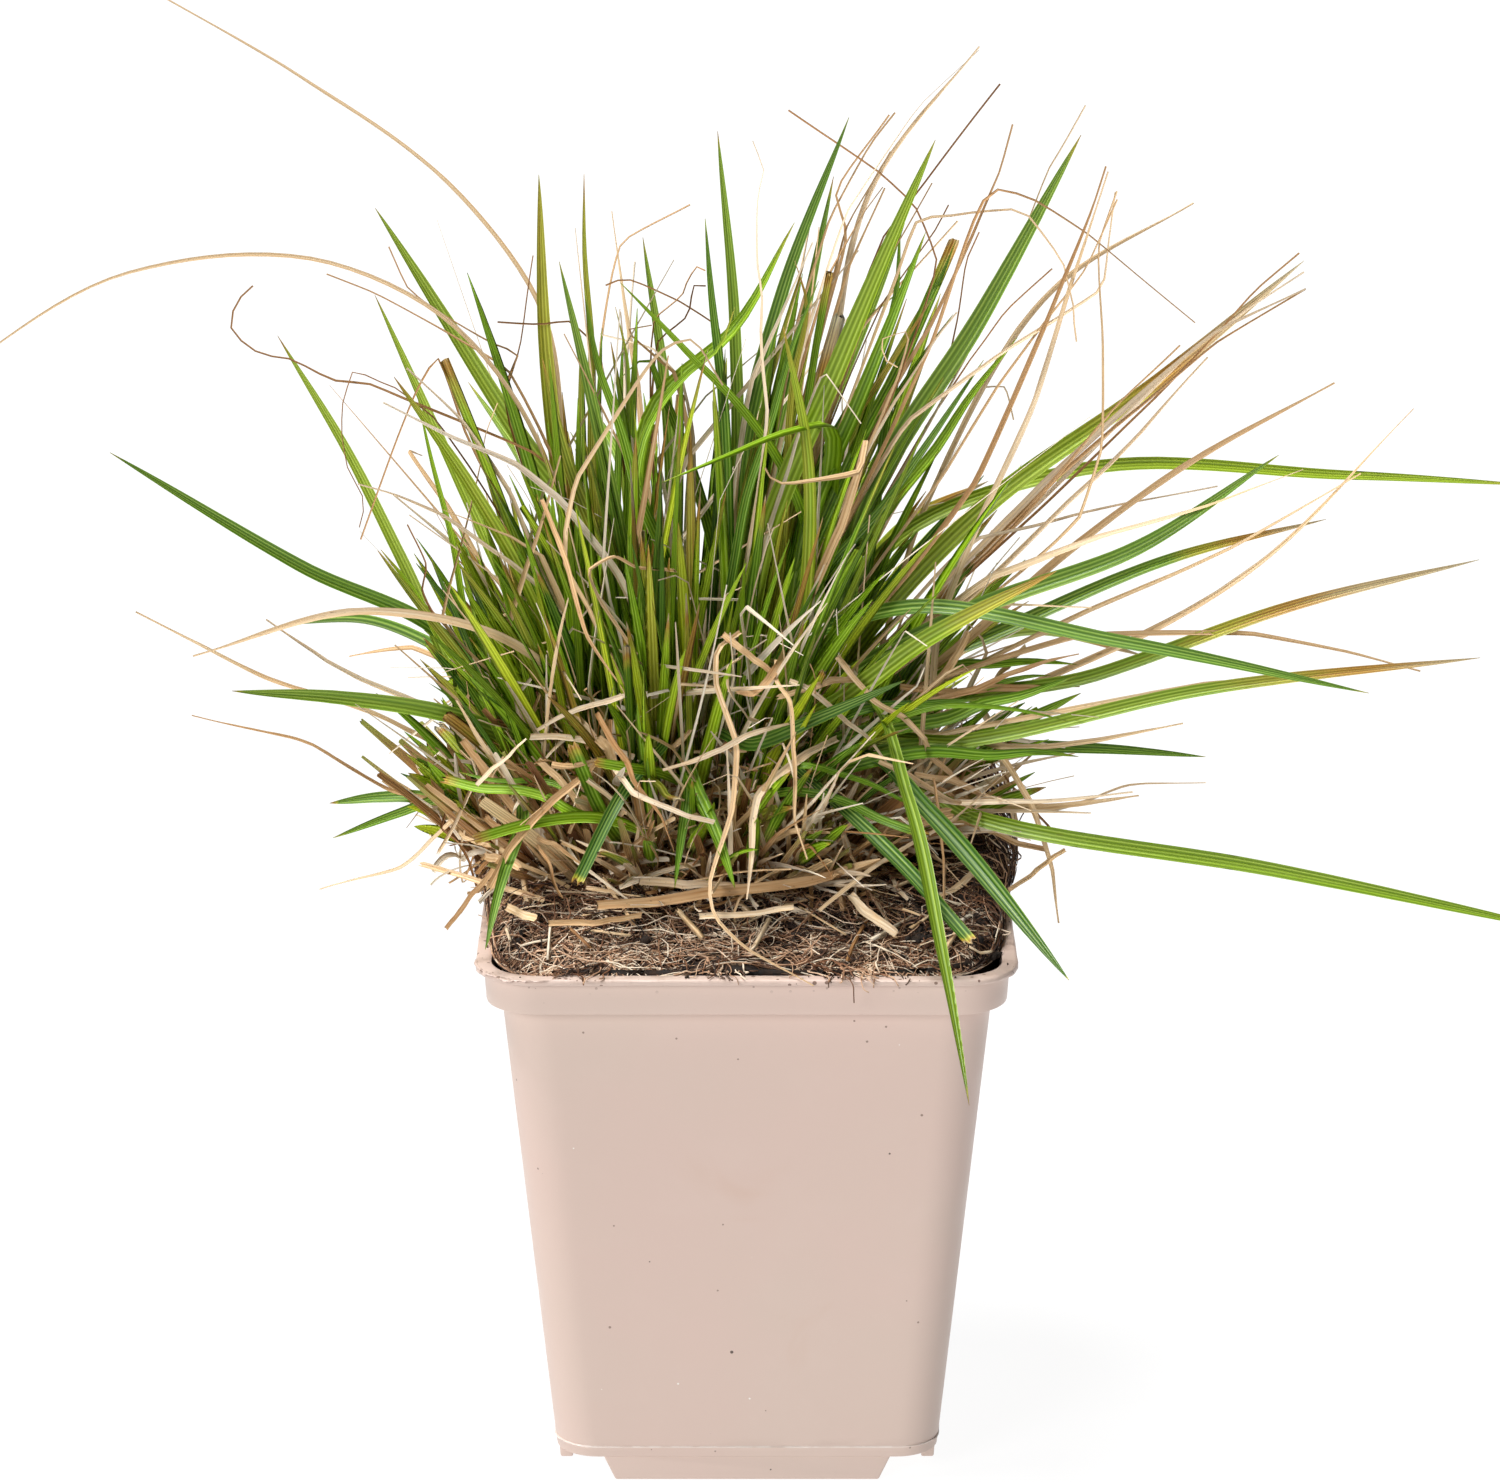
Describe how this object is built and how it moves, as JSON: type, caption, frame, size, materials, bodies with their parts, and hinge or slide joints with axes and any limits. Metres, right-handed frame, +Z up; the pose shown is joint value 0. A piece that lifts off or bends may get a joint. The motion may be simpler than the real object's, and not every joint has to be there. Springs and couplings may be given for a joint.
{
  "type": "potted ornamental grass clump",
  "caption": "Clump of narrow green grass blades and dry straw growing from a root-covered compost surface in a square tapered nursery pot that stands on low feet.",
  "frame": {"origin": "centre of the pot's base at the bottom of its feet", "axes": "+Z up, -Y out of the pot's front, +X to the right seen from the front"},
  "size_m": [0.276, 0.18, 0.247],
  "materials": {
    "pot_plastic": "satin moulded plastic, greyish pink, with specks of dirt",
    "compost": "dark moist crumbs",
    "roots": "dry matted fine roots",
    "crown": "tan sheaths that turn into green blades",
    "leaf_green": "satin ribbed grass blade",
    "leaf_lime": "satin ribbed grass blade, yellowing",
    "straw": "dry papery grass blade"
  },
  "bodies": {
    "root": {"pot": "pot_plastic", "compost": "compost", "root_mat": "roots", "crown": "crown", "leaf_01": "leaf_green", "leaf_02": "leaf_green", "leaf_03": "leaf_green", "leaf_04": "leaf_green", "leaf_05": "leaf_green", "leaf_06": "leaf_lime", "leaf_07": "leaf_green", "leaf_08": "leaf_green", "leaf_09": "leaf_green", "leaf_10": "leaf_green", "leaf_11": "leaf_green", "leaf_12": "leaf_lime", "leaf_13": "leaf_green", "leaf_14": "leaf_green", "leaf_15": "leaf_lime", "leaf_16": "leaf_green", "leaf_17": "leaf_lime", "leaf_18": "leaf_green", "leaf_19": "leaf_lime", "leaf_20": "leaf_lime", "leaf_21": "leaf_lime", "leaf_22": "leaf_green", "leaf_23": "leaf_green", "leaf_24": "leaf_green", "leaf_25": "leaf_lime", "leaf_26": "leaf_green", "leaf_27": "leaf_green", "leaf_28": "leaf_green", "leaf_29": "leaf_lime", "leaf_30": "leaf_green", "leaf_31": "leaf_green", "leaf_32": "leaf_lime", "leaf_33": "leaf_green", "leaf_34": "leaf_green", "leaf_35": "leaf_lime", "leaf_36": "leaf_green", "leaf_37": "leaf_green", "leaf_38": "leaf_lime", "straw_01": "straw", "straw_02": "straw", "straw_03": "straw", "straw_04": "straw", "straw_05": "straw", "straw_06": "straw", "straw_07": "straw", "straw_08": "straw", "straw_09": "straw", "straw_10": "straw", "straw_11": "straw", "straw_12": "straw", "straw_13": "straw", "straw_14": "straw"}
  },
  "joints": []
}
